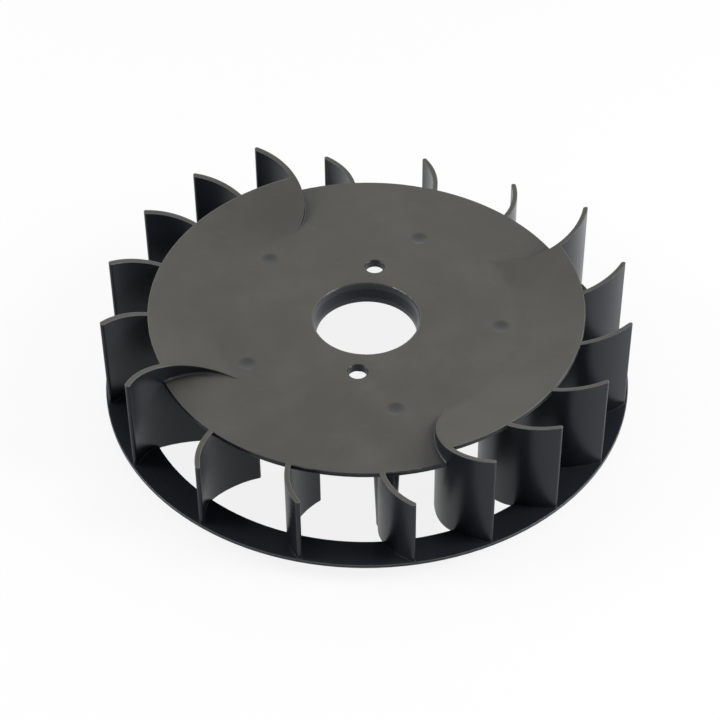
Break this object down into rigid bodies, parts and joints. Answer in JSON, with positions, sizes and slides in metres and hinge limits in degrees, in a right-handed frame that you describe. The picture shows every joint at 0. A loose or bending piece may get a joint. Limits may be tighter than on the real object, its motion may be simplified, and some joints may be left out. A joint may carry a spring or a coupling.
{
  "type": "engine flywheel fan",
  "caption": "Moulded radial cooling fan for a small engine's flywheel: a stepped disc with a bored hub and pin holes, curved blades round it and a flat ring at their feet.",
  "frame": {"origin": "on the spin axis, in the plane of the disc's flat upper face", "axes": "+Z along the spin axis out of the disc's flat face, away from the foot ring; the two pin holes lie on the Y axis"},
  "size_m": [0.2376, 0.2376, 0.0565],
  "materials": {
    "moulded_plastic": "satin black moulded nylon, light wear and faint stains on the disc"
  },
  "bodies": {
    "root": {"fan_wheel": "moulded_plastic"}
  },
  "joints": []
}
